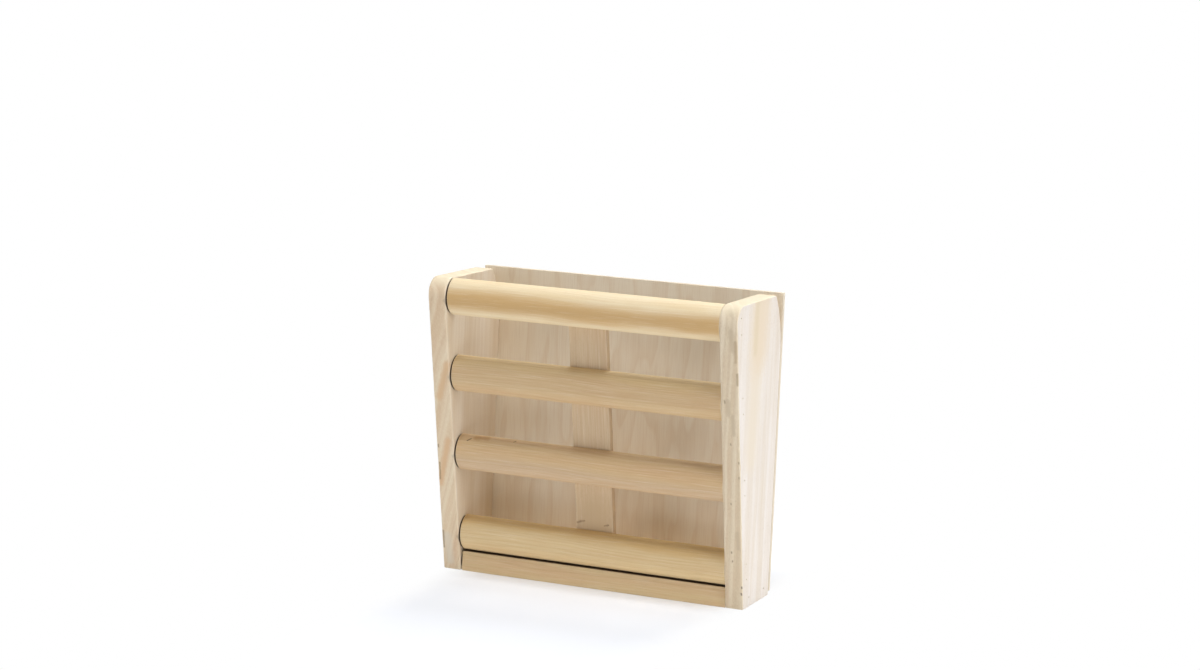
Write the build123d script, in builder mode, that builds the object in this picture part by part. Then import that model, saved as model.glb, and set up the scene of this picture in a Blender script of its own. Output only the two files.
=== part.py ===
"""Hay feeder box: a small softwood rack that stands on the floor by itself.

Two tapered side panels stand upright at the rear and lean out at the front. Four
half-round rails and a floor board are butted between them, a flat slat is nailed up
the middle of the rails from inside, and a thin sheet closes the back. The top is open.

Millimetres, +X to the right as seen from the front, +Y to the rear, +Z up. The origin
is in the middle of the bounding box, on the surface that the feeder stands on.
"""

import os
from math import cos, hypot, radians, sin, tan

from build123d import *

# Side panels
width = 200.0  # over the outer faces of the two side panels
height = 187.5
side_thickness = 11.5
side_base_depth = 44.5  # front to rear along the floor
front_lean = 11.2  # degrees that the front edges lean out from upright
front_corner_radius = 10.0
rear_curve_height = 37.0  # a long curve takes off the rear top corner: this far down the rear
rear_curve_depth = 12.8  # and this far in along the top
rear_tip_radius = 4.0  # eases the corner between that curve and the top
side_edge_radius = 0.7

# Rails, half-round with a short flat above and below
rail_width = 23.0
rail_depth = 11.5
rail_side_flat = 0.8
rail_edge_radius = 0.4
floor_gap = 0.1  # clear height between the floor board and the bottom rail
top_rail_drop = 2.3  # from the front's top end down to the top rail, along the front
middle_rail_rise = 2.4  # the two middle rails sit a little above even spacing
end_play = 0.9  # rails and floor board are this much shorter than the space for them

# Centre slat
slat_width = 24.5
slat_thickness = 5.0
slat_offset = -0.5  # from the middle of the box, towards the left
slat_floor_gap = 1.0
slat_top_drop = 3.0  # below the upper side of the top rail
slat_edge_radius = 0.4

# Floor board and back panel
floor_thickness = 12.5
floor_edge_radius = 0.4
back_thickness = 3.0
back_lift = 2.5  # the back panel ends this far above the floor
back_edge_radius = 0.25

# Headless pins, driven through the side panels
pin_radius = 0.5
pin_length = 25.0
pin_set = 0.3  # the pins end this far under the surface
pin_tip = 1.5
rail_pin_spacing = 10.0
rail_pin_depth = 6.5  # behind the front of the rail
floor_pin_margin = 9.0  # from the floor board's front and rear edges

# Flat-headed nails, driven flush from the rear
nail_radius = 0.6
nail_length = 14.0
nail_head_radius = 1.4
nail_head_thickness = 0.6
nail_tip = 1.6
nail_point_radius = 0.1
back_nail_margin = 14.0  # from the ends of the side panels' upright rear edge
back_nails_per_side = 4
floor_nail_margin = 32.0  # from the side panels' inner faces
floor_nail_count = 3
slat_nail_length = 12.0
slat_nail_spacing = 12.0

# What follows from these sizes
lean = radians(front_lean)
front_reach = (height - front_corner_radius) * tan(lean) - front_corner_radius * (1 / cos(lean) - 1)
overall_depth = back_thickness + side_base_depth + front_reach
back_rear_y = overall_depth / 2
side_rear_y = back_rear_y - back_thickness
base_front_y = side_rear_y - side_base_depth
inner_width = width - 2 * side_thickness
cross_length = inner_width - end_play
slope_length = height / cos(lean)

# Places on the front: x to the right, y up along the slope, z straight out of it
front = Plane(origin=(0, base_front_y, 0), x_dir=(1, 0, 0), z_dir=(0, -cos(lean), -sin(lean)))
# The front's section, seen along +X from the right panel's inner face: x is the depth
# behind the front and y runs up along the slope
front_section = Plane(
    origin=(inner_width / 2, base_front_y, 0), x_dir=-front.z_dir, z_dir=(1, 0, 0)
)
# The same face with x to the rear and y up
upright_section = Plane(origin=(inner_width / 2, 0, 0), x_dir=(0, 1, 0), z_dir=(1, 0, 0))

rail_arc_depth = rail_depth - rail_side_flat
round_lift = rail_arc_depth * sin(lean)  # the lean lifts the back of the round by this
round_drop = hypot(rail_width / 2 * cos(lean), round_lift) - round_lift  # centre to lowest point
bottom_rail_centre = (floor_thickness + floor_gap + round_drop) / cos(lean)
top_rail_centre = slope_length - top_rail_drop - rail_width / 2
rail_pitch = (top_rail_centre - bottom_rail_centre) / 3
rail_centres = {
    "top_rail": top_rail_centre,
    "upper_rail": bottom_rail_centre + 2 * rail_pitch + middle_rail_rise,
    "lower_rail": bottom_rail_centre + rail_pitch + middle_rail_rise,
    "bottom_rail": bottom_rail_centre,
}

UNDER = (Align.CENTER, Align.CENTER, Align.MAX)  # a solid that hangs below its plane


def spread(start, end, count):
    """Evenly spaced values from start to end, both included."""
    return [start + (end - start) * step / (count - 1) for step in range(count)]


def side_seats(y, z):
    """The planes on both outer side faces where a pin enters at this y and z."""
    return [
        Plane(origin=(side * width / 2, y, z), z_dir=(side, 0, 0)) for side in (-1, 1)
    ]


def rail_pin_seats(centre):
    """The planes where the four pins of the rail with this centre enter."""
    seats = []
    for offset in (-rail_pin_spacing / 2, rail_pin_spacing / 2):
        place = front.from_local_coords((0, centre + offset, -rail_pin_depth))
        seats += side_seats(place.Y, place.Z)
    return seats


def floor_pin_seats():
    """The planes where the floor board's pins enter, in the middle of its thickness."""
    ys = (base_front_y + floor_pin_margin, side_rear_y - floor_pin_margin)
    return [seat for y in ys for seat in side_seats(y, floor_thickness / 2)]


def back_seat(x, z):
    """The plane on the rear of the back panel where a nail enters."""
    return Plane(origin=(x, back_rear_y, z), x_dir=(1, 0, 0), z_dir=(0, 1, 0))


def side_nail_seats(side):
    """The back panel's nail seats along one side panel: side is -1 left or 1 right."""
    x = side * (width - side_thickness) / 2
    lowest = back_lift + back_nail_margin
    highest = height - rear_curve_height - back_nail_margin
    return [back_seat(x, z) for z in spread(lowest, highest, back_nails_per_side)]


def floor_nail_seats():
    """The back panel's nail seats along the floor board."""
    reach = inner_width / 2 - floor_nail_margin
    return [back_seat(x, floor_thickness / 2) for x in spread(-reach, reach, floor_nail_count)]


def slat_nail_seats(centre):
    """The planes on the rear of the slat where the nails of one rail enter."""
    seats = []
    for offset in (-slat_nail_spacing / 2, slat_nail_spacing / 2):
        place = (slat_offset + offset, centre, -(rail_depth + slat_thickness))
        seats.append(Plane(front.from_local_coords(place), x_dir=(1, 0, 0), z_dir=-front.z_dir))
    return seats


def save(piece, label):
    """Name a finished piece and write it to its own file."""
    piece.part.label = label
    export_step(piece.part, f"parts/{label}.step")


def side_panel(side):
    """One side panel: side is -1 for the left one and 1 for the right one."""
    curve_foot = (side_rear_y, height - rear_curve_height)
    curve_top = (side_rear_y - rear_curve_depth, height)
    top_front = (base_front_y - height * tan(lean), height)
    with BuildPart() as panel:
        with BuildSketch(upright_section):
            with BuildLine():
                Polyline(curve_top, top_front, (base_front_y, 0), (side_rear_y, 0), curve_foot)
                TangentArc(curve_foot, curve_top, tangent=(0, 1))
            make_face()
            fillet(vertices().group_by(Axis.Y)[-1].sort_by(Axis.X)[-1], rear_tip_radius)
            fillet(vertices().group_by(Axis.Y)[-1].sort_by(Axis.X)[0], front_corner_radius)
        extrude(amount=side_thickness)
        fillet(edges(), side_edge_radius)
        if side < 0:
            mirror(about=Plane.YZ, mode=Mode.REPLACE)
        pin_seats = floor_pin_seats()
        for centre in rail_centres.values():
            pin_seats += rail_pin_seats(centre)
        with Locations(*pin_seats):
            Hole(pin_radius, pin_set + pin_length)
        with Locations(*side_nail_seats(side)):
            Hole(nail_radius, nail_length)
    return panel


def rail(centre):
    """One half-round rail, hard against the right panel and short of the left one."""
    with BuildPart() as bar:
        with BuildSketch(front_section):
            low, high = centre - rail_width / 2, centre + rail_width / 2
            with BuildLine():
                EllipticalCenterArc(
                    (rail_arc_depth, centre), rail_arc_depth, rail_width / 2, 90, arc_size=180
                )
                Polyline(
                    (rail_arc_depth, high),
                    (rail_depth, high),
                    (rail_depth, low),
                    (rail_arc_depth, low),
                )
            make_face()
        extrude(amount=-cross_length)
        ends = edges().group_by(Axis.X)
        rear = faces().sort_by(Axis((0, 0, 0), -front.z_dir))[-1].edges()
        fillet(ends[0] + ends[-1] + rear.filter_by(Axis.X), rail_edge_radius)
        with Locations(*rail_pin_seats(centre)):
            Hole(pin_radius, pin_set + pin_length)
        with Locations(*slat_nail_seats(centre)):
            Hole(nail_radius, slat_nail_length)
    return bar


def floor_board():
    """The square-edged floor board, as deep as the feet of the side panels."""
    with BuildPart() as board:
        with BuildSketch(upright_section):
            with Locations((base_front_y, 0)):
                Rectangle(side_base_depth, floor_thickness, align=(Align.MIN, Align.MIN))
        extrude(amount=-cross_length)
        fillet(edges(), floor_edge_radius)
        with Locations(*floor_pin_seats()):
            Hole(pin_radius, pin_set + pin_length)
        with Locations(*floor_nail_seats()):
            Hole(nail_radius, nail_length)
    return board


def back_panel():
    """The thin sheet over the rear edges of the side panels and the floor board."""
    with BuildPart() as sheet:
        with BuildSketch(Plane.XZ.offset(-side_rear_y)):
            with Locations((0, back_lift)):
                Rectangle(width, height - back_lift, align=(Align.CENTER, Align.MIN))
        extrude(amount=-back_thickness)
        fillet(edges(), back_edge_radius)
        with Locations(*side_nail_seats(-1), *side_nail_seats(1), *floor_nail_seats()):
            CounterBoreHole(nail_radius, nail_head_radius, nail_head_thickness)
    return sheet


def centre_slat():
    """The flat slat behind the rails, square to the slope."""
    slat_bottom = (floor_thickness + slat_floor_gap - rail_depth * sin(lean)) / cos(lean)
    slat_top = top_rail_centre + rail_width / 2 - slat_top_drop
    with BuildPart() as slat:
        with BuildSketch(front.offset(-rail_depth)):
            with Locations((slat_offset, slat_bottom)):
                Rectangle(slat_width, slat_top - slat_bottom, align=(Align.CENTER, Align.MIN))
        extrude(amount=-slat_thickness)
        fillet(edges(), slat_edge_radius)
        for centre in rail_centres.values():
            with Locations(*slat_nail_seats(centre)):
                CounterBoreHole(nail_radius, nail_head_radius, nail_head_thickness)
    return slat


def pins(seats):
    """Headless pins, set a little under the faces that they were driven into."""
    tops = [seat.offset(-pin_set) for seat in seats]
    with BuildPart() as group:
        with Locations(*tops):
            Cylinder(pin_radius, pin_length - pin_tip, align=UNDER)
        with Locations(*[top.offset(pin_tip - pin_length) for top in tops]):
            Cone(nail_point_radius, pin_radius, pin_tip, align=UNDER)
    return group


def nails(seats, length):
    """Flat-headed nails, flush with the faces that they were driven into."""
    with BuildPart() as group:
        with Locations(*seats):
            Cylinder(nail_head_radius, nail_head_thickness, align=UNDER)
            Cylinder(nail_radius, length - nail_tip, align=UNDER)
        with Locations(*[seat.offset(nail_tip - length) for seat in seats]):
            Cone(nail_point_radius, nail_radius, nail_tip, align=UNDER)
    return group


os.makedirs("parts", exist_ok=True)

save(side_panel(-1), "left_side_panel")
save(side_panel(1), "right_side_panel")
save(floor_board(), "floor_board")
save(back_panel(), "back_panel")
save(centre_slat(), "centre_slat")
for name, centre in rail_centres.items():
    save(rail(centre), name)
    save(pins(rail_pin_seats(centre)), f"{name}_pins")
save(pins(floor_pin_seats()), "floor_board_pins")
save(nails(side_nail_seats(-1), nail_length), "left_back_nails")
save(nails(side_nail_seats(1), nail_length), "right_back_nails")
save(nails(floor_nail_seats(), nail_length), "floor_back_nails")
slat_seats = [seat for centre in rail_centres.values() for seat in slat_nail_seats(centre)]
save(nails(slat_seats, slat_nail_length), "slat_nails")
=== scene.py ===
"""The looks of a small softwood feeder box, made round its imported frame. Metres, front towards -Y."""

from math import acos, asin, cos, exp, pi, radians, sin, tan

import bmesh
import bpy
from mathutils import Euler, Matrix, Vector, noise


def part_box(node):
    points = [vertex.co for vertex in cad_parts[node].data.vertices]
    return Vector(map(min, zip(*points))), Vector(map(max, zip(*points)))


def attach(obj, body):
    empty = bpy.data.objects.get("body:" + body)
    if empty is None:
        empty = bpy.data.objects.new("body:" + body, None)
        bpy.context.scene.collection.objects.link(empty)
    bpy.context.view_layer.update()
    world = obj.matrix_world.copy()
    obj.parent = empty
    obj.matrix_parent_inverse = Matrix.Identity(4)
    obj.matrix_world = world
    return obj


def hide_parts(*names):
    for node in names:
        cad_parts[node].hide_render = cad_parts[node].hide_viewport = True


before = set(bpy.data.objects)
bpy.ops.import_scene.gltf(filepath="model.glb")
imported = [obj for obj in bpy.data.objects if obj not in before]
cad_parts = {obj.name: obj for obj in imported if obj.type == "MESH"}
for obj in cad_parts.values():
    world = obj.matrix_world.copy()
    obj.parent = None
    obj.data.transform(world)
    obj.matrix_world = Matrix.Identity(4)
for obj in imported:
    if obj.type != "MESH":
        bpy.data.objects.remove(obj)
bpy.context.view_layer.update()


# Side panels. Two planed softwood boards with the grain upright. The rear edge is square to the
# floor and the front edge is sawn to the lean, so it cuts across the grain at a slant. The front's
# top corner is rounded, a long curve takes off the rear one, and every arris is eased by sanding.

MM = 0.001
LEAN = radians(11.2)  # how far the front leans out from upright
ARC_STEPS = 4  # facets in the rounding of an arris
CORNER_SHARE = 1.15  # the corners of an outline are rounded by this many times the arris
SHARP_ANGLE = radians(40)

panel_base_depth = 44.5 * MM
panel_front_radius = 10 * MM
panel_curve_height = 37 * MM  # how far down the rear edge the long curve starts
panel_curve_depth = 12.8 * MM  # how far in it ends, along the top
panel_curve_radius = (panel_curve_height ** 2 + panel_curve_depth ** 2) / (2 * panel_curve_depth)
panel_tip_radius = 4 * MM  # eases the corner between that curve and the top
panel_arris = 0.7 * MM
panel_wear = 0.28 * MM
panel_corner_steps = 14
panel_curve_steps = 28
panel_tip_steps = 6
panel_row = 1.1 * MM
panel_columns = 60
panel_steps = 10
pin_hole_radius = 0.52 * MM
pin_hole_depth = 0.02 * MM  # how far the hole goes past the end of the pin
pin_reach = 2 * MM
rail_names = ("top_rail", "upper_rail", "lower_rail", "bottom_rail")


def arc(centre, radius, start, end, steps):
    """Points on an arc from one angle to another, in degrees, both ends included."""
    turns = [radians(start + (end - start) * step / steps) for step in range(steps + 1)]
    return [Vector((centre[0] + radius * cos(turn), centre[1] + radius * sin(turn))) for turn in turns]


def chain(lower, upper, rows):
    """One edge of an outline, in this many rows: the lower corner, a straight stretch and the
    upper corner."""
    steps = rows + 2 - len(lower) - len(upper)
    between = [lower[-1].lerp(upper[0], step / steps) for step in range(1, steps)]
    return lower + between + upper


def board(name, left, right, columns, thickness, steps, radius, place):
    """A closed board with rounded arrises. Its outline runs up the chains left and right, and
    place(point, depth) puts a point of the outline at a depth under the near face."""
    rows = len(left) - 1
    border = [(0, column) for column in range(columns)]
    border += [(row, columns) for row in range(rows)]
    border += [(rows, column) for column in range(columns, 0, -1)]
    border += [(row, 0) for row in range(rows, 0, -1)]
    outline = [left[row].lerp(right[row], column / columns) for row, column in border]
    size = len(outline)

    # Each point of the outline has a way out, and a bend that is 1 on a corner
    outward, bend = [], []
    for index, point in enumerate(outline):
        before, after = point - outline[index - 1], outline[(index + 1) % size] - point
        outward.append(Vector((before.y + after.y, -before.x - after.x)).normalized())
        turn = acos(max(-1.0, min(1.0, before.normalized().dot(after.normalized()))))
        bend.append(min(1.0, radius * turn / (before.length + after.length) * 2))

    # A ring of the outline is drawn in, lies at a depth and is so much of an arris, from 0 to 1
    turns = [pi / 2 * step / ARC_STEPS for step in range(ARC_STEPS + 1)]
    near = [(radius * (1 - sin(turn)), radius * (1 - cos(turn)), sin(2 * turn)) for turn in turns]
    straight = thickness - 2 * radius
    rings = near + [(0.0, radius + straight * step / steps, 0.0) for step in range(1, steps)]
    rings += [(inset, thickness - depth, edge) for inset, depth, edge in reversed(near)]
    points, arris = [], []
    for inset, depth, edge in rings:
        points += [place(point - way * inset, depth) for point, way in zip(outline, outward)]
        arris += [max(edge, corner) for corner in bend]
    faces = []
    for ring in range(len(rings) - 1):
        for index in range(size):
            after = (index + 1) % size
            a, b = ring * size, (ring + 1) * size
            faces.append((a + index, a + after, b + after, b + index))

    # The near and the far face are a grid inside the first and the last ring
    rim = [point - way * radius for point, way in zip(outline, outward)]
    spots = {cell: index for index, cell in enumerate(border)}
    for first, depth in ((0, 0.0), (size * (len(rings) - 1), thickness)):
        grid = {cell: first + index for cell, index in spots.items()}
        for row in range(1, rows):
            start, end = rim[spots[row, 0]], rim[spots[row, columns]]
            for column in range(1, columns):
                grid[row, column] = len(points)
                points.append(place(start.lerp(end, column / columns), depth))
                arris.append(0.0)
        for row in range(rows):
            for column in range(columns):
                cells = ((row, column), (row, column + 1), (row + 1, column + 1), (row + 1, column))
                faces.append(tuple(grid[cell] for cell in cells))

    mesh = bpy.data.meshes.new(name)
    mesh.from_pydata(points, [], faces)
    mesh.attributes.new("arris", "FLOAT", "POINT").data.foreach_set("value", arris)
    shape = bmesh.new()
    shape.from_mesh(mesh)
    bmesh.ops.recalc_face_normals(shape, faces=shape.faces)
    shape.to_mesh(mesh)
    shape.free()
    piece = bpy.data.objects.new(name, mesh)
    bpy.context.scene.collection.objects.link(piece)
    return piece


def centre_on(piece, node):
    """Move a piece's mesh so that the middle of its box is on the middle of the CAD node's box."""
    corners = [vertex.co for vertex in piece.data.vertices]
    low = Vector([min(corner[axis] for corner in corners) for axis in range(3)])
    high = Vector([max(corner[axis] for corner in corners) for axis in range(3)])
    node_low, node_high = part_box(node)
    piece.data.transform(Matrix.Translation((node_low + node_high - low - high) / 2))


ripple_depth = 0.03 * MM
ripple_scale = 70  # how close the waves of sanding lie, in the scale of the noise
rub_scale = 160  # the worn and the spared stretches of an arris
nick_scale = 700  # the small nicks in it
dent_edge = 2.5  # a dent ends at this many of its radii


def work(piece, wear, dents=()):
    """Ease the arrises unevenly, leave the faint waves of sanding and press in each dent, which is
    a place, a radius and a depth. Every move is inwards."""
    vertices = piece.data.vertices
    edges = [item.value for item in piece.data.attributes["arris"].data]
    normals = [vertex.normal.copy() for vertex in vertices]
    for vertex, normal, edge in zip(vertices, normals, edges):
        spot = vertex.co.copy()
        depth = ripple_depth * (0.5 + 0.5 * noise.noise(spot * ripple_scale))
        if edge > 0:
            rub = 0.35 + 0.8 * noise.noise(spot * rub_scale) + 0.6 * noise.noise(spot * nick_scale)
            depth += wear * edge * max(0.0, rub)
        for centre, radius, deepest in dents:
            away = (spot - centre).length / radius
            if away < dent_edge:
                depth += deepest * exp(-away * away)
        vertex.co = spot - normal * depth
    piece.data.update()


end_band = 0.05 * MM  # the end of a fastener is flat to within this
drill_rise = 1.0 * MM  # a drill starts this far above the end of the fastener
drill_facets = 24


def driven(node, axis, reach):
    """The places where the fasteners of a CAD node show, which is where they lie furthest along the
    axis. Points within reach of each other belong to one fastener."""
    axis = Vector(axis)
    corners = [vertex.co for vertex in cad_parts[node].data.vertices]
    furthest = max(corner.dot(axis) for corner in corners)
    groups = []
    for corner in corners:
        if corner.dot(axis) < furthest - end_band:
            continue
        group = next((g for g in groups if (g[0] - corner).length < reach), None)
        if group is None:
            groups.append([corner])
        else:
            group.append(corner)
    return [sum(group, Vector()) / len(group) for group in groups]


def drill(piece, places, axis, radius, depth):
    """Sink a round hole at each place, against the axis, down to this depth under the place."""
    shape = bmesh.new()
    turn = Vector(axis).to_track_quat("Z", "Y").to_matrix().to_4x4()
    for place in places:
        middle = place + Vector(axis) * (drill_rise - depth) / 2
        bmesh.ops.create_cone(
            shape, cap_ends=True, segments=drill_facets, radius1=radius, radius2=radius,
            depth=drill_rise + depth, matrix=Matrix.Translation(middle) @ turn,
        )
    mesh = bpy.data.meshes.new("drill")
    shape.to_mesh(mesh)
    shape.free()
    tool = bpy.data.objects.new("drill", mesh)
    bpy.context.scene.collection.objects.link(tool)
    cut = piece.modifiers.new("holes", "BOOLEAN")
    cut.operation = "DIFFERENCE"
    cut.solver = "EXACT"
    cut.object = tool
    ready = piece.evaluated_get(bpy.context.evaluated_depsgraph_get())
    holed = bpy.data.meshes.new_from_object(ready)
    piece.modifiers.clear()
    piece.data = holed
    bpy.data.objects.remove(tool)


def finish_piece(piece, node, material):
    """Smooth the rounded surfaces and let the piece stand for its CAD node."""
    for face in piece.data.polygons:
        face.use_smooth = True
    piece.data.set_sharp_from_angle(angle=SHARP_ANGLE)
    piece.data.materials.clear()
    piece.data.materials.append(material)
    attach(piece, "root")
    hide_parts(node)


class Shade:
    """One output in a node tree. Arithmetic on it adds Math nodes, and node() adds any other kind."""

    def __init__(self, tree, socket=None):
        self.tree = tree
        self.socket = socket

    def node(self, kind, settings, values, output=0):
        """Add a node: its settings first, then a value or a link for each socket named."""
        made = self.tree.nodes.new(kind)
        for name, setting in settings.items():
            if name == "stops":
                while len(made.color_ramp.elements) < len(setting):
                    made.color_ramp.elements.new(1.0)
                for element, (position, level) in zip(made.color_ramp.elements, setting):
                    element.position = position
                    element.color = (level, level, level, 1.0)
            else:
                setattr(made, name, setting)
        for name, value in values.items():
            if isinstance(value, Shade):
                self.tree.links.new(value.socket, made.inputs[name])
            else:
                made.inputs[name].default_value = value
        return Shade(self.tree, made.outputs[output])

    def maths(self, operation, other=0.0):
        """A Math node on this value, and on another where the operation takes two."""
        return self.node("ShaderNodeMath", {"operation": operation}, {0: self, 1: other})

    def vector(self, operation, other=(0.0, 0.0, 0.0), output=0):
        """A Vector Math node on this vector and another."""
        return self.node("ShaderNodeVectorMath", {"operation": operation}, {0: self, 1: other}, output)

    def part(self, axis):
        """One of the three parts of a vector."""
        return self.node("ShaderNodeSeparateXYZ", {}, {0: self}, axis)

    def step(self, low, high):
        """0 below low, 1 above high and a smooth rise between them."""
        values = {"Value": self, "From Min": low, "From Max": high}
        return self.node("ShaderNodeMapRange", {"interpolation_type": "SMOOTHSTEP"}, values)

    def from_line(self, start, end):
        """How far this place is from the straight line between two points."""
        span = Vector(end) - Vector(start)
        offset = self.vector("SUBTRACT", start)
        share = offset.vector("DOT_PRODUCT", span, "Value") / span.length_squared
        share = share.node("ShaderNodeClamp", {}, {"Value": share})
        values = {0: tuple(span), "Scale": share}
        foot = share.node("ShaderNodeVectorMath", {"operation": "SCALE"}, values)
        return offset.vector("SUBTRACT", foot).vector("LENGTH", output="Value")

    def ramp(self, stops):
        """The level that the stops, each a position and a level, give here."""
        return self.node("ShaderNodeValToRGB", {"stops": stops}, {"Fac": self})

    def blend(self, first, second):
        """The first colour where this is 0 and the second where it is 1."""
        return self.node("ShaderNodeMix", {"data_type": "RGBA"}, {0: self, 6: first, 7: second}, 2)

    def __add__(self, other):
        return self.maths("ADD", other)

    def __sub__(self, other):
        return self.maths("SUBTRACT", other)

    def __rsub__(self, other):
        return self.node("ShaderNodeMath", {"operation": "SUBTRACT"}, {0: other, 1: self})

    def __mul__(self, other):
        return self.maths("MULTIPLY", other)

    def __truediv__(self, other):
        return self.maths("DIVIDE", other)

    __radd__ = __add__
    __rmul__ = __mul__


def tint(red, green, blue):
    """A colour given as it looks, from 0 to 255, in the form that a node's socket takes."""
    levels = [level / 255 for level in (red, green, blue)]
    linear = [
        ((level + 0.055) / 1.055) ** 2.4 if level > 0.04045 else level / 12.92 for level in levels
    ]
    return (*linear, 1.0)


def noise_at(place, scale, detail=2.0, roughness=0.5, output=0):
    """A noise texture, its grain this close along each axis."""
    stretched = place.vector("MULTIPLY", scale)
    values = {"Vector": stretched, "Scale": 1.0, "Detail": detail, "Roughness": roughness}
    return place.node("ShaderNodeTexNoise", {"noise_dimensions": "3D"}, values, output)


def noise_along(value):
    """A noise texture that changes with one value."""
    values = {"W": value, "Scale": 1.0}
    return value.node("ShaderNodeTexNoise", {"noise_dimensions": "1D"}, values)


def new_material(name):
    """A material, and the start of the expressions that feed it."""
    material = bpy.data.materials.new(name)
    material.use_nodes = True
    return material, Shade(material.node_tree)


def place_on(start):
    """The place on the piece, in millimetres."""
    return start.node("ShaderNodeTexCoord", {}, {}, "Object").vector("MULTIPLY", (1000, 1000, 1000))


def facing(start):
    """The way that the surface faces, as the shape gives it."""
    return start.node("ShaderNodeTexCoord", {}, {}, "Normal")


def arris_share(start):
    """How much of an arris this place is, from 0 to 1, as board() left it on the mesh."""
    settings = {"attribute_name": "arris", "attribute_type": "GEOMETRY"}
    return start.node("ShaderNodeAttribute", settings, {}, "Fac")


def dress(material, colour, roughness, height, strength, rise):
    """Feed the surface its colour, its roughness and the fine relief of the height, which stands
    out by the rise. Returns the surface."""
    tree = material.node_tree
    relief = {"Strength": strength, "Distance": rise, "Height": height}
    bump = height.node("ShaderNodeBump", {}, relief)
    surface = tree.nodes["Principled BSDF"]
    for name, value in (("Base Color", colour), ("Roughness", roughness), ("Normal", bump)):
        tree.links.new(value.socket, surface.inputs[name])
    return surface


UPRIGHT = Euler((0, 0, 0))  # the grain runs up the board
ACROSS = Euler((0, radians(-90), 0))  # the grain runs along X
SLOPING = Euler((-LEAN, 0, 0))  # the grain runs up the lean of the front
RING = ((0.0, 0.8), (0.1, 0.08), (0.5, 0.14), (0.86, 0.8), (1.0, 1.0))  # how dark a year's wood grows
NOISE_MIDDLE = (0.5, 0.5, 0.5)
BARE_WOOD_SHEEN = 0.35
wood_relief = 0.5
wood_rise = 0.12 * MM

fibre_light = tint(255, 248, 232)
pore_brown = tint(140, 108, 78)
# painted shade for the dark lines where pieces meet
painted_joint_shade = tint(62, 38, 22)
# end grain, tinted pale, and partly painted light on the tops of the side panels
end_grain_and_painted_light = tint(228, 216, 188)
rubbed_pale = tint(252, 242, 222)


def growth(grain, ring):
    """Rings round the pith, each so many millimetres wide: the distance from the pith, the sway of
    the fibres, and how dark the year's wood is here."""
    # The fibres sway slowly by up to 7 mm and quickly by up to 0.8 mm
    sway = noise_at(grain, (0.011, 0.011, 0.006), 2.0, 0.45, "Color").vector("SUBTRACT", NOISE_MIDDLE)
    wander = noise_at(grain, (0.09, 0.09, 0.022), output="Color").vector("SUBTRACT", NOISE_MIDDLE)
    swayed = grain.vector("ADD", sway.vector("MULTIPLY", (14, 14, 0)))
    swayed = swayed.vector("ADD", wander.vector("MULTIPLY", (1.6, 1.6, 0)))
    across = swayed.vector("MULTIPLY", (1, 1, 0)).vector("LENGTH", output="Value")

    # Good and lean years come in runs, and a dry year ends in darker wood
    age = across / ring
    age = age + noise_along(age * 0.23) * 2.2
    year = age.maths("FLOOR")
    dryness = year.node("ShaderNodeTexWhiteNoise", {"noise_dimensions": "1D"}, {"W": year})
    latewood = age.maths("FRACT").ramp(RING) * (0.35 + 0.65 * dryness)
    return across, wander, latewood


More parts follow.
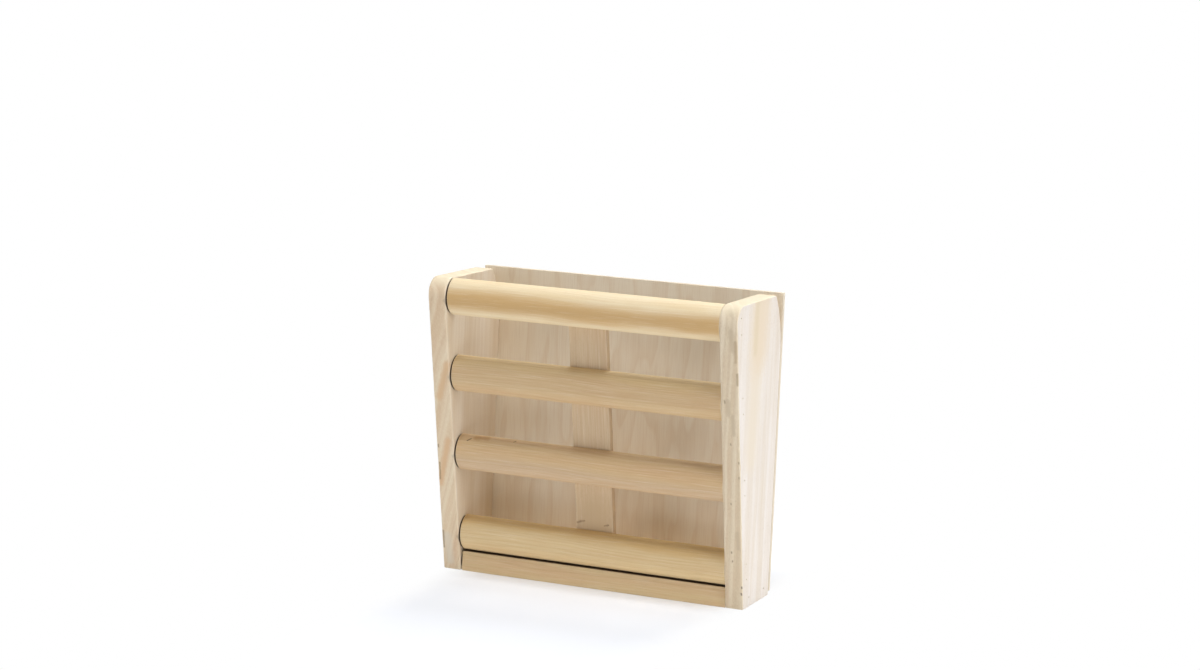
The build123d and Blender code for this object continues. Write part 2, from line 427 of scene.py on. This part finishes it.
def timber(name, lie, pith, ring, sap, late, blush, contrast=0.35, face=None, bands=None, heart=None,
           marks=(), joint_shades=(), fleck=0.2):
    """Bare softwood, solid right through, so that rings on a face meet those on its edges. The
    lie turns the grain to Z, the pith is a point in millimetres that the rings go round, and a
    ring is so many millimetres wide. Sap, late and blush colour the pale wood, the dark of the
    rings and the warmer streaks. Contrast is how strongly the rings show, and fleck the pores. A
    face is the light and the dark colour of the planed broad faces, bands are soft zones along
    the rings with a width and a colour, a heart is a radius, an edge and a colour, and a mark is
    a patch of colour with two ends, a radius and a colour. A joint shade is painted shade where
    another piece meets this one: two ends, a radius and a limit. The limit is where the painted
    shade ends towards the rear, measured from the frame's origin square to the leaning front."""
    material, start = new_material(name)
    spot = place_on(start)
    offset = -(lie.to_matrix() @ Vector(pith))
    values = {"Vector": spot, "Location": offset, "Rotation": lie}
    grain = spot.node("ShaderNodeMapping", {"vector_type": "POINT"}, values)
    values = {"Vector": facing(start), "Rotation": lie}
    turned = start.node("ShaderNodeMapping", {"vector_type": "NORMAL"}, values)
    endwise = turned.part(2).maths("ABSOLUTE").step(0.25, 0.85)

    # The wood as it grew
    across, wander, latewood = growth(grain, ring)
    streak = noise_at(grain, (0.2, 0.2, 0.007), 3.0, 0.55).step(0.34, 0.68)
    cloud = noise_at(grain, (0.07, 0.07, 0.03), 3.0, 0.55).step(0.35, 0.7)
    fibre = noise_at(grain, (2.6, 2.6, 0.045), 3.0, 0.6)
    grit = noise_at(grain, (6.0, 6.0, 0.5), 1.0)
    colour = (streak * 0.55 + cloud * 0.4).blend(sap, blush)
    lines = contrast
    if bands is not None:
        width, pale = bands
        zone = noise_along(across / width).step(0.38, 0.66)
        colour = (zone * 0.9).blend(colour, pale)
    if face is not None:
        broad = turned.part(0).maths("ABSOLUTE").step(0.6, 0.95)
        sweep = noise_at(grain, (0.09, 0.09, 0.005)).step(0.38, 0.62)
        planed = (sweep * 0.5 + streak * 0.3 + cloud * 0.2).blend(face[0], face[1])
        colour = (broad * 0.95).blend(colour, planed)
        lines = contrast * (1 - broad * 0.75) * (1 - endwise * 0.6)
    if heart is not None:
        radius, edge, heartwood = heart
        inside = 1 - (across + wander.part(0) * 5).step(radius - edge, radius + edge)
        colour = (inside * 0.9).blend(colour, heartwood)
    colour = (latewood * lines).blend(colour, late)
    colour = (fibre.step(0.44, 0.74) * 0.16).blend(colour, late)
    colour = ((1 - fibre.step(0.26, 0.5)) * 0.2).blend(colour, fibre_light)
    colour = (grit.step(0.66, 0.74) * fleck).blend(colour, pore_brown)

    # What was done to it
    ragged = noise_at(grain, (1.1, 1.1, 0.35), 2.0, 0.6) * 1.4 + 0.3
    for first, second, radius, stain in marks:
        mark_share = 1 - (spot.from_line(first, second) * ragged).step(radius * 0.15, radius)
        colour = (mark_share * 0.8).blend(colour, stain)
    # Painted shade where another piece meets this one, ending towards the rear at the limit
    depth = spot.vector("DOT_PRODUCT", (0, cos(LEAN), sin(LEAN)), "Value")
    for first, second, radius, limit in joint_shades:
        shade_here = 1 - spot.from_line(first, second).step(radius - 0.5, radius)
        shade_here = shade_here * (1 - depth.step(limit - 0.6, limit))
        colour = (shade_here * 0.9).blend(colour, painted_joint_shade)
    # End grain is pale, and on the side panels' tops and front corners partly painted light from above
    colour = (endwise * 0.6).blend(colour, end_grain_and_painted_light)
    colour = (arris_share(start) * 0.3).blend(colour, rubbed_pale)

    roughness = 0.58 + 0.16 * fibre + 0.08 * endwise
    height = latewood * 0.5 + fibre * 0.6 + grit * 0.25
    surface = dress(material, colour, roughness, height, wood_relief, wood_rise)
    surface.inputs["Specular IOR Level"].default_value = BARE_WOOD_SHEEN
    return material


def side_panel(side):
    """One side panel: side is -1 for the left one and 1 for the right one."""
    node = "left_side_panel" if side < 0 else "right_side_panel"
    low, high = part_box(node)
    rear, top = high.y, high.z
    nook = panel_arris * CORNER_SHARE
    straight = top - panel_front_radius
    rows = int(straight / panel_row) + ARC_STEPS + panel_corner_steps

    # The front edge, from the foot up the lean and round the top corner
    lean_degrees = LEAN * 180 / pi
    base_front = rear - panel_base_depth
    heel = nook * tan(radians(45) - LEAN / 2)  # from the foot back to the middle of its rounding
    corner_y = base_front - straight * tan(LEAN) + panel_front_radius / cos(LEAN)
    front_foot = arc((base_front + heel, nook), nook, 270, 180 + lean_degrees, ARC_STEPS)
    front_top = arc(
        (corner_y, straight), panel_front_radius, 180 + lean_degrees, 90, panel_corner_steps,
    )

    # The rear edge, from the foot up and along the curve to its tip
    curve_centre = Vector((rear - panel_curve_radius, top - panel_curve_height))
    tip_reach = panel_curve_radius - panel_tip_radius
    tip_turn = asin((panel_curve_height - panel_tip_radius) / tip_reach)
    tip_centre = curve_centre + tip_reach * Vector((cos(tip_turn), sin(tip_turn)))
    tip_degrees = tip_turn * 180 / pi
    rear_foot = arc((rear - nook, nook), nook, -90, 0, ARC_STEPS)
    rear_top = arc(curve_centre, panel_curve_radius, 0, tip_degrees, panel_curve_steps)
    rear_top += arc(tip_centre, panel_tip_radius, tip_degrees, 90, panel_tip_steps)[1:]

    piece = board(
        node + "_wood", chain(front_foot, front_top, rows), chain(rear_foot, rear_top, rows),
        panel_columns, high.x - low.x, panel_steps, panel_arris,
        lambda point, depth: Vector((low.x + depth, point.x, point.y)),
    )
    centre_on(piece, node)
    work(piece, panel_wear)
    pinned = rail_names + ("floor_board",)
    holes = [place for name in pinned for place in driven(name + "_pins", (side, 0, 0), pin_reach)]
    drill(piece, holes, (side, 0, 0), pin_hole_radius, pin_hole_depth)
    return piece, node


# Painted shade at the ends of the rails and of the floor board, on the left panel's inner face, so
# that the joints show dark. Places in the wood are in millimetres from here on.
joint_shade_radius = 10.8  # a little less than half the width of a rail
joint_shade_margin = 0.25  # the painted shade of the floor board stays this far inside its arrises
joint_shade_setback = 3.87  # the painted shade's middle lies this far behind the middle of the rail's box
joint_shade_through = 0.5  # and runs this far through the face, either way
rail_back = 5.2  # the limit, a shade before the flat backs of the rails
past_floor_board = 60  # a limit that cuts nothing off
inner_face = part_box("left_side_panel")[1].x / MM
shaded_joint_ends = []
for name in rail_names:
    low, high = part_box(name)
    middle = (low + high) / 2 / MM
    across = (inner_face - joint_shade_through, inner_face + joint_shade_through)
    ends = [(x, middle.y + joint_shade_setback, middle.z) for x in across]
    shaded_joint_ends.append((*ends, joint_shade_radius, rail_back))
low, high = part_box("floor_board")
half = (high.z - low.z) / 2 / MM
ends = [(inner_face, y, half) for y in (low.y / MM + half, high.y / MM - half)]
shaded_joint_ends.append((*ends, half - joint_shade_margin, past_floor_board))

# Warm and pale streaks on the left front edge, then three thin dark lines
left_marks = (
    ((-90.1, -32.8, 133.7), (-96.5, -28.6, 112.6), 3.6, tint(222, 188, 148)),
    ((-92.1, -23.1, 84.8), (-98.6, -17.5, 56.7), 3.2, tint(222, 186, 146)),
    ((-96.5, -10.6, 21.9), (-95.1, -7.4, 5.5), 4.4, tint(224, 213, 194)),
    ((-98.8, -11.2, 25.0), (-99.0, -9.1, 14.3), 0.9, tint(158, 140, 116)),
    ((-98.7, -20.1, 69.7), (-98.8, -18.0, 59.3), 0.9, tint(166, 142, 112)),
    ((-99.1, -22.4, 81.4), (-99.0, -22.1, 80.1), 0.9, tint(158, 138, 112)),
)
left_timber = timber(
    "left_panel_timber", lie=UPRIGHT, pith=(-58, 34, 0), ring=3.4,
    sap=tint(228, 207, 176), late=tint(202, 168, 130), blush=tint(223, 197, 167), contrast=0.4,
    face=(tint(236, 224, 206), tint(222, 204, 178)), bands=(6.5, tint(240, 226, 200)),
    joint_shades=shaded_joint_ends, marks=left_marks,
)

# Three warm streaks on the right outer face, then greyish patches and specks down the front edge
grey_patch = tint(208, 190, 163)
speck = tint(168, 146, 118)
dark_speck = tint(104, 86, 68)
right_marks = (
    ((100.0, -3.0, 188.0), (100.0, -7.0, 95.0), 17.0, tint(230, 218, 200)),
    ((100.0, 2.0, 192.0), (100.0, -2.0, 158.0), 24.0, tint(228, 211, 187)),
    ((100.0, -8.0, 186.0), (100.0, -8.0, 158.0), 6.0, tint(221, 205, 177)),
    ((93.7, -38.0, 184.8), (95.4, -39.6, 182.6), 2.6, grey_patch),
    ((94.5, -42.4, 184.0), (96.9, -41.8, 180.7), 2.0, grey_patch),
    ((95.5, -40.4, 172.2), (97.1, -38.3, 161.5), 3.2, grey_patch),
    ((98.5, -39.2, 166.5), (98.4, -36.9, 154.4), 1.5, tint(196, 174, 144)),
    ((99.3, -35.4, 147.2), (99.3, -34.1, 140.6), 1.2, tint(176, 154, 124)),
    ((92.7, -32.0, 130.1), (93.2, -30.5, 122.2), 2.8, grey_patch),
    ((95.7, -30.2, 120.7), (96.1, -28.1, 110.3), 2.2, grey_patch),
    ((97.3, -15.9, 48.7), (97.5, -14.0, 39.2), 2.2, grey_patch),
    ((90.9, -32.1, 130.2), (91.0, -31.8, 129.0), 0.8, speck),
    ((94.1, -26.9, 104.2), (94.2, -26.8, 103.6), 0.8, speck),
    ((99.0, -24.7, 93.2), (99.1, -24.6, 92.4), 0.7, speck),
    ((99.0, -22.8, 83.9), (99.0, -22.7, 83.1), 0.7, speck),
    ((93.6, -19.6, 67.1), (93.7, -19.4, 66.5), 0.7, speck),
    ((93.3, -13.5, 36.4), (93.3, -13.4, 35.8), 0.9, speck),
    ((93.8, -12.4, 30.8), (93.8, -12.2, 30.2), 0.7, speck),
    ((99.4, -9.2, 14.8), (99.5, -9.1, 14.0), 0.8, dark_speck),
    ((99.1, -8.4, 10.6), (99.2, -8.3, 9.8), 0.8, dark_speck),
)
right_timber = timber(
    "right_panel_timber", lie=UPRIGHT, pith=(176, 4, 0), ring=3.8,
    sap=tint(226, 210, 182), late=tint(200, 178, 150), blush=tint(220, 197, 168), contrast=0.36,
    # its broad faces are pale wood, whiter and greyer than the left's by painted highlight of the key
    # lamp
    face=(tint(237, 231, 227), tint(224, 213, 199)), bands=(5.0, tint(236, 222, 198)), fleck=0.5,
    marks=right_marks,
)

for side, wood in ((-1, left_timber), (1, right_timber)):
    panel, node = side_panel(side)
    finish_piece(panel, node, wood)


# Floor board. A planed, square-edged board between the side panels, with the grain along the box.
# It sits hard against the right panel, a shade short of the left one, and headless pins hold it.

board_arris = 0.4 * MM
board_wear = 0.2 * MM
board_nook = board_arris * CORNER_SHARE
floor_rows = 17
floor_columns = 44
long_step = 0.9 * MM


def rectangle(low, high, nook, rows):
    """The two upright edges of a rectangle from its low corner to its high one, with all four
    corners rounded."""
    edges = []
    for x, foot, side in ((low[0] + nook, 270, 180), (high[0] - nook, -90, 0)):
        lower = arc((x, low[1] + nook), nook, foot, side, ARC_STEPS)
        upper = arc((x, high[1] - nook), nook, side, 90, ARC_STEPS)
        edges.append(chain(lower, upper, rows))
    return edges


def straight_board(node, section_front, section_rear, columns):
    """A board that runs along X for the length of its CAD node, with this section."""
    low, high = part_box(node)
    length = high.x - low.x
    piece = board(
        node + "_wood", section_front, section_rear, columns,
        length, int(length / long_step), board_arris,
        lambda point, depth: Vector((low.x + depth, point.x, point.y)),
    )
    centre_on(piece, node)
    return piece


# Painted shade under the bottom rail, on the board's upper front arris
under_bottom_rail = ((-100, 1.0, 13.5), (100, 1.0, 13.5), 7.1, rail_back)
floor_timber = timber(
    "floor_timber", lie=ACROSS, pith=(0, -40, 44), ring=2.6,
    sap=tint(222, 198, 154), late=tint(196, 162, 116), blush=tint(220, 188, 148), contrast=0.4,
    joint_shades=[under_bottom_rail],
)
low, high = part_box("floor_board")
front, rear = rectangle((low.y, 0), (high.y, high.z), board_nook, floor_rows)
piece = straight_board("floor_board", front, rear, floor_columns)
work(piece, board_wear)
finish_piece(piece, "floor_board", floor_timber)


# Rails. Four lengths of half-round softwood moulding, sanded smooth, with a short flat above and
# below. They are butted between the side panels, flush with the leaning front edges, and pinned
# through the panels.

rail_width = 23.0 * MM
rail_depth = 11.5 * MM
rail_arc_depth = 10.7 * MM  # the rest of the depth is the flats
rail_rows = 44
rail_columns = 5


def rail(node):
    """One rail. Its section is drawn upright and then leaned with the front."""
    half = rail_width / 2
    front = []
    for row in range(rail_rows + 1):
        turn = radians(-90 + 180 * row / rail_rows)
        front.append(Vector((rail_arc_depth * (1 - cos(turn)), half * sin(turn))))
    back_x = rail_depth - board_nook
    lower = arc((back_x, board_nook - half), board_nook, -90, 0, ARC_STEPS)
    upper = arc((back_x, half - board_nook), board_nook, 0, 90, ARC_STEPS)
    back = chain(lower, upper, rail_rows)
    lean = Matrix.Rotation(LEAN, 2)
    piece = straight_board(node, [lean @ p for p in front], [lean @ p for p in back], rail_columns)
    work(piece, board_wear)
    return piece


top_timber = timber(
    "top_rail_timber", lie=ACROSS, pith=(0, -41.0, 174.2), ring=2.2,
    sap=tint(236, 220, 188), late=tint(212, 180, 132), blush=tint(232, 210, 168), contrast=0.25,
    heart=(6.0, 3.8, tint(205, 166, 108)),
)
upper_timber = timber(
    "upper_rail_timber", lie=ACROSS, pith=(0, -24, 139.5), ring=1.7,
    sap=tint(213, 187, 146), late=tint(188, 152, 108), blush=tint(207, 175, 134),
    heart=(7.0, 4.0, tint(224, 196, 146)),
)

# A warm patch and two dark nicks along the upper side of the lower rail, in its left half
lower_marks = (
    ((-76.0, -15.8, 87.4), (-69.0, -15.2, 87.8), 3.4, tint(196, 154, 106)),
    ((-81.2, -18.3, 85.2), (-79.0, -17.2, 86.8), 0.65, tint(84, 58, 36)),
    ((-50.8, -15.8, 87.2), (-49.8, -15.0, 87.8), 0.5, tint(104, 72, 46)),
)
lower_timber = timber(
    "lower_rail_timber", lie=ACROSS, pith=(0, -19, 68.5), ring=1.9,
    sap=tint(217, 188, 143), late=tint(192, 154, 110), blush=tint(213, 179, 138),
    heart=(6.5, 4.0, tint(207, 182, 151)), marks=lower_marks,
)

# Painted shade along the underside of the bottom rail, where it sits on the floor board
on_floor_board = ((-100, -1.0, 12.2), (100, -1.0, 12.2), 3.4, past_floor_board)
bottom_timber = timber(
    "bottom_rail_timber", lie=ACROSS, pith=(0, -4, 36.5), ring=2.1,
    sap=tint(226, 203, 158), late=tint(198, 164, 116), blush=tint(220, 192, 146),
    # its darker heartwood along the top is partly painted shade under the rails above
    heart=(8.0, 3.5, tint(218, 182, 122)), joint_shades=[on_floor_board],
)
rail_timbers = (top_timber, upper_timber, lower_timber, bottom_timber)
for node, wood in zip(rail_names, rail_timbers):
    finish_piece(rail(node), node, wood)


# Centre slat. A thin planed slat nailed to the backs of the rails, with the grain up the slope. Its
# lower end has two small patches of torn grain just above the bottom rail.

slat_thickness = 5.0 * MM
slat_wear = 0.22 * MM
slat_row = 0.8 * MM
slat_columns = 34
slat_steps = 5
nail_seat_radius = 1.45 * MM
nail_seat_depth = 0.62 * MM
nail_reach = 4 * MM


def flat_board(node, width, height, thickness, arris, row, columns, steps, place):
    """A rectangular board, its outline centred on the origin."""
    corner = Vector((width / 2, height / 2))
    rows = int(height / row) + 2 * ARC_STEPS
    left, right = rectangle(-corner, corner, arris * CORNER_SHARE, rows)
    piece = board(node + "_wood", left, right, columns, thickness, steps, arris, place)
    centre_on(piece, node)
    return piece


def slat():
    """The centre slat, its length worked out from the height of its leaning box."""
    low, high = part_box("centre_slat")
    length = (high.z - low.z - slat_thickness * sin(LEAN)) / cos(LEAN)
    along = Vector((0, -sin(LEAN), cos(LEAN)))
    inward = Vector((0, cos(LEAN), sin(LEAN)))
    return flat_board(
        "centre_slat", high.x - low.x, length, slat_thickness, board_arris,
        slat_row, slat_columns, slat_steps,
        lambda point, depth: Vector((point.x, 0, 0)) + along * point.y + inward * depth,
    )


# The slat is darker at its lower end, painted shade, and the torn patches have dark fibres in them
slat_marks = (
    # painted shade over the lower end
    ((0.0, -1.0, 28.0), (0.0, -2.0, 48.0), 20.0, tint(197, 170, 134)),
    ((-12.4, -2.4, 39.2), (-7.2, -2.6, 41.0), 1.0, tint(150, 122, 94)),
    ((-11.6, -2.4, 39.5), (-9.8, -2.5, 40.1), 0.5, tint(92, 72, 54)),
    ((6.2, -2.4, 39.3), (8.8, -2.5, 40.1), 0.8, tint(132, 104, 78)),
)
slat_timber = timber(
    "slat_timber", lie=SLOPING, pith=(-46, 30, 0), ring=2.4,
    sap=tint(212, 189, 156), late=tint(190, 158, 122), blush=tint(207, 180, 147),
    marks=slat_marks,
)
torn_radius = 0.7 * MM
torn_depth = 0.4 * MM
torn_y = -2.5  # at the face of the slat
torn_left = [(-11.8, 39.4), (-10.6, 39.8), (-9.3, 40.2), (-8.1, 40.7)]
torn_right = [(6.6, 39.4), (8.0, 39.9)]
torn = [(Vector((x, torn_y, z)) * MM, torn_radius, torn_depth) for x, z in torn_left + torn_right]
piece = slat()
work(piece, slat_wear, torn)
slat_back = (0, cos(LEAN), sin(LEAN))
heads = driven("slat_nails", slat_back, nail_reach)
drill(piece, heads, slat_back, nail_seat_radius, nail_seat_depth)
finish_piece(piece, "centre_slat", slat_timber)


# Back panel. A thin three-ply sheet over the rear edges of the side panels and the floor board. Its
# face veneers are peeled, with the grain upright, and its core ply runs across, so both show in
# the sawn edges.

back_arris = 0.25 * MM
back_wear = 0.15 * MM
back_row = 1.5 * MM
back_columns = 130
back_steps = 6


def plywood(name, front, rear):
    """Three-ply sheet between these two depths in millimetres: peeled faces over a crosswise core."""
    material, start = new_material(name)
    place = place_on(start)

    # The plies, counted from the front, and the glue between them
    ply = (place.part(1) - front) / ((rear - front) / 3)
    core = ply.step(0.97, 1.03) * (1 - ply.step(1.97, 2.03))
    glue = (ply - 1).maths("ABSOLUTE").maths("MINIMUM", (ply - 2).maths("ABSOLUTE"))
    glue = 1 - glue.step(0.02, 0.09)

    # The peeled faces, then the core
    sway = noise_at(place, (0.02, 0.02, 0.006), 3.0)
    peel = noise_at(place, (0.03, 0.9, 0.005), 3.0)
    figure = (peel * 8 + sway * 3).maths("FRACT").ramp(RING)
    fibre = noise_at(place, (2.4, 2.4, 0.05), 3.0, 0.6)
    patch = noise_at(place, (0.02, 0.02, 0.008)).step(0.35, 0.7)
    colour = (patch * 0.8).blend(tint(235, 225, 206), tint(229, 214, 189))
    colour = (figure * 0.22).blend(colour, tint(200, 164, 122))
    colour = (fibre.step(0.45, 0.75) * 0.2).blend(colour, tint(192, 156, 116))
    crosswise = noise_at(place, (0.08, 3.0, 3.0), 3.0, 0.6).step(0.35, 0.7)
    inner = crosswise.blend(tint(232, 224, 208), tint(218, 204, 182))
    colour = core.blend(colour, inner)
    colour = (glue * 0.25).blend(colour, tint(160, 134, 106))

    # The sawn side edges are darker towards the front, and the arrises are rubbed pale
    sideways = facing(start).part(0).maths("ABSOLUTE").step(0.4, 0.8)
    darker_front = sideways * (1 - ply.step(0.05, 0.5)) * 0.6
    colour = darker_front.blend(colour, tint(146, 130, 108))
    colour = (arris_share(start) * 0.2).blend(colour, tint(246, 232, 206))

    roughness = 0.55 + 0.15 * fibre
    height = figure * 0.4 + fibre * 0.6 - glue * 1.5
    surface = dress(material, colour, roughness, height, wood_relief, wood_rise)
    surface.inputs["Specular IOR Level"].default_value = BARE_WOOD_SHEEN
    return material


low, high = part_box("back_panel")
piece = flat_board(
    "back_panel", high.x - low.x, high.z - low.z, high.y - low.y, back_arris,
    back_row, back_columns, back_steps,
    lambda point, depth: Vector((point.x, depth, point.y)),
)
work(piece, back_wear)
rearward = (0, 1, 0)
back_nails = ("left_back_nails", "right_back_nails", "floor_back_nails")
heads = [place for nails in back_nails for place in driven(nails, rearward, nail_reach)]
drill(piece, heads, rearward, nail_seat_radius, nail_seat_depth)
finish_piece(piece, "back_panel", plywood("back_plywood", low.y / MM, high.y / MM))


# Pins and nails. Headless wire pins hold the rails and the floor board through the side panels, and
# flat-headed wire nails, driven flush, hold the back panel and the slat. Both are bright drawn
# steel, kept as the frame has them.

steel_relief = 0.4
steel_rise = 0.05 * MM


def drawn_steel(name, base, bright_roughness):
    """Bright steel wire, faintly scored, and rougher where it is dulled in patches."""
    material, start = new_material(name)
    place = place_on(start)
    score = noise_at(place, (3, 3, 3), 4.0, 0.7)
    dull = noise_at(place, (0.9, 0.9, 0.9)).step(0.4, 0.7)
    colour = (dull * 0.6).blend(base, tint(122, 116, 108))
    roughness = bright_roughness + 0.2 * dull + 0.1 * score
    surface = dress(material, colour, roughness, score, steel_relief, steel_rise)
    surface.inputs["Metallic"].default_value = 1.0
    return material


pin_steel = drawn_steel("pin_steel", tint(200, 198, 194), 0.3)
nail_steel = drawn_steel("nail_steel", tint(206, 204, 200), 0.26)
for node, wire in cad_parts.items():
    if node.endswith("_pins"):
        steel, slot = pin_steel, "pin_steel"
    elif node.endswith("_nails"):
        steel, slot = nail_steel, "nail_steel"
    else:
        continue
    wire.data.materials.clear()
    wire.data.materials.append(steel)


# The stage. A plain white floor that keeps the box's contact shadow, a white surround, a large soft
# key lamp from the right, one high behind, one straight above the front, a low one at the front
# left to fill, and the camera where the photograph was taken from.

floor_half = 3.0
pure_white = tint(255, 255, 255)
floor_light = 0.09  # the floor's own light on the underside of the box
shadow_light = 0.02  # and in the shadow that the camera sees
room_light = 0.08  # the soft light from all round
shadow_reach = (0.1, 0.3)  # the shown floor fades to white between these distances from the middle
shadow_width = (0.068, 0.102)  # and between these distances to either side

mesh = bpy.data.meshes.new("floor")
corners = [(x * floor_half, y * floor_half, 0) for x, y in ((-1, -1), (1, -1), (1, 1), (-1, 1))]
mesh.from_pydata(corners, [], [(0, 1, 2, 3)])
floor = bpy.data.objects.new("floor", mesh)
bpy.context.scene.collection.objects.link(floor)

material = bpy.data.materials.new("floor_white")
material.use_nodes = True
tree = material.node_tree
tree.nodes.clear()
start = Shade(tree)
seen = start.node("ShaderNodeLightPath", {}, {}, "Is Camera Ray")
paper = start.node("ShaderNodeBsdfDiffuse", {}, {"Color": tint(250, 250, 250)})
lift = start.node("ShaderNodeEmission", {}, {"Color": pure_white, "Strength": floor_light})
paper = start.node("ShaderNodeAddShader", {}, {0: paper, 1: lift})
shaded = start.node("ShaderNodeBsdfDiffuse", {}, {"Color": tint(244, 248, 255)})
glow = start.node("ShaderNodeEmission", {}, {"Color": pure_white, "Strength": shadow_light})
shaded = start.node("ShaderNodeAddShader", {}, {0: shaded, 1: glow})
white = start.node("ShaderNodeEmission", {}, {"Color": pure_white, "Strength": 1.0})
place = start.node("ShaderNodeTexCoord", {}, {}, "Object")
far = place.vector("LENGTH", output="Value").step(*shadow_reach)
aside = place.part(0).maths("ABSOLUTE").step(*shadow_width)
shown = start.node("ShaderNodeMixShader", {}, {0: far.maths("MAXIMUM", aside), 1: shaded, 2: white})
result = start.node("ShaderNodeMixShader", {}, {0: seen, 1: paper, 2: shown})
out = tree.nodes.new("ShaderNodeOutputMaterial")
tree.links.new(result.socket, out.inputs["Surface"])
floor.data.materials.append(material)

world = bpy.data.worlds.new("surround")
bpy.context.scene.world = world
world.use_nodes = True
tree = world.node_tree
tree.nodes.clear()
start = Shade(tree)
ways = ("Is Camera Ray", "Is Glossy Ray", "Is Transmission Ray")
seen = [start.node("ShaderNodeLightPath", {}, {}, way) for way in ways]
seen = seen[0].maths("MAXIMUM", seen[1]).maths("MAXIMUM", seen[2])
soft = start.node("ShaderNodeBackground", {}, {"Color": pure_white, "Strength": room_light})
white = start.node("ShaderNodeBackground", {}, {"Color": pure_white, "Strength": 1.0})
result = start.node("ShaderNodeMixShader", {}, {0: seen, 1: soft, 2: white})
out = tree.nodes.new("ShaderNodeOutputWorld")
tree.links.new(result.socket, out.inputs["Surface"])

box_middle = Vector((0, 0, 0.09))


def lamp(name, way, distance, size, power):
    """A square soft lamp, this far off in this direction and aimed at the middle of the box."""
    light = bpy.data.lights.new(name, "AREA")
    light.size = size
    light.energy = power
    bulb = bpy.data.objects.new(name, light)
    bulb.location = box_middle + Vector(way).normalized() * distance
    bulb.rotation_euler = Vector(way).to_track_quat("Z", "Y").to_euler()
    bpy.context.scene.collection.objects.link(bulb)


lamp("key_lamp", (1.0, -0.15, 0.35), distance=1.6, size=1.0, power=13.0)
lamp("rear_lamp", (0.0, 0.6, 1.0), distance=1.5, size=0.9, power=10.4)
lamp("top_lamp", (0.0, -0.23, 1.0), distance=1.5, size=0.42, power=13.9)
lamp("fill_lamp", (-0.7, -0.9, 0.2), distance=1.6, size=0.5, power=3.5)

camera_place = Vector((0.61921, -1.48805, 0.39337))
camera_yaw, camera_pitch, camera_roll = radians(22.698), radians(8.357), radians(2.43)
camera_sensor = 36  # the width in millimetres
camera_lens = 80.45
camera_data = bpy.data.cameras.new("camera")
camera_data.sensor_width = camera_sensor
camera_data.lens = camera_lens
camera = bpy.data.objects.new("camera", camera_data)
turn = Matrix.Rotation(camera_yaw, 3, "Z") @ Matrix.Rotation(pi / 2 - camera_pitch, 3, "X")
turn = turn @ Matrix.Rotation(camera_roll, 3, "Z")
camera.matrix_world = Matrix.Translation(camera_place) @ turn.to_4x4()
bpy.context.scene.collection.objects.link(camera)
bpy.context.scene.camera = camera
bpy.context.scene.view_settings.view_transform = "Standard"
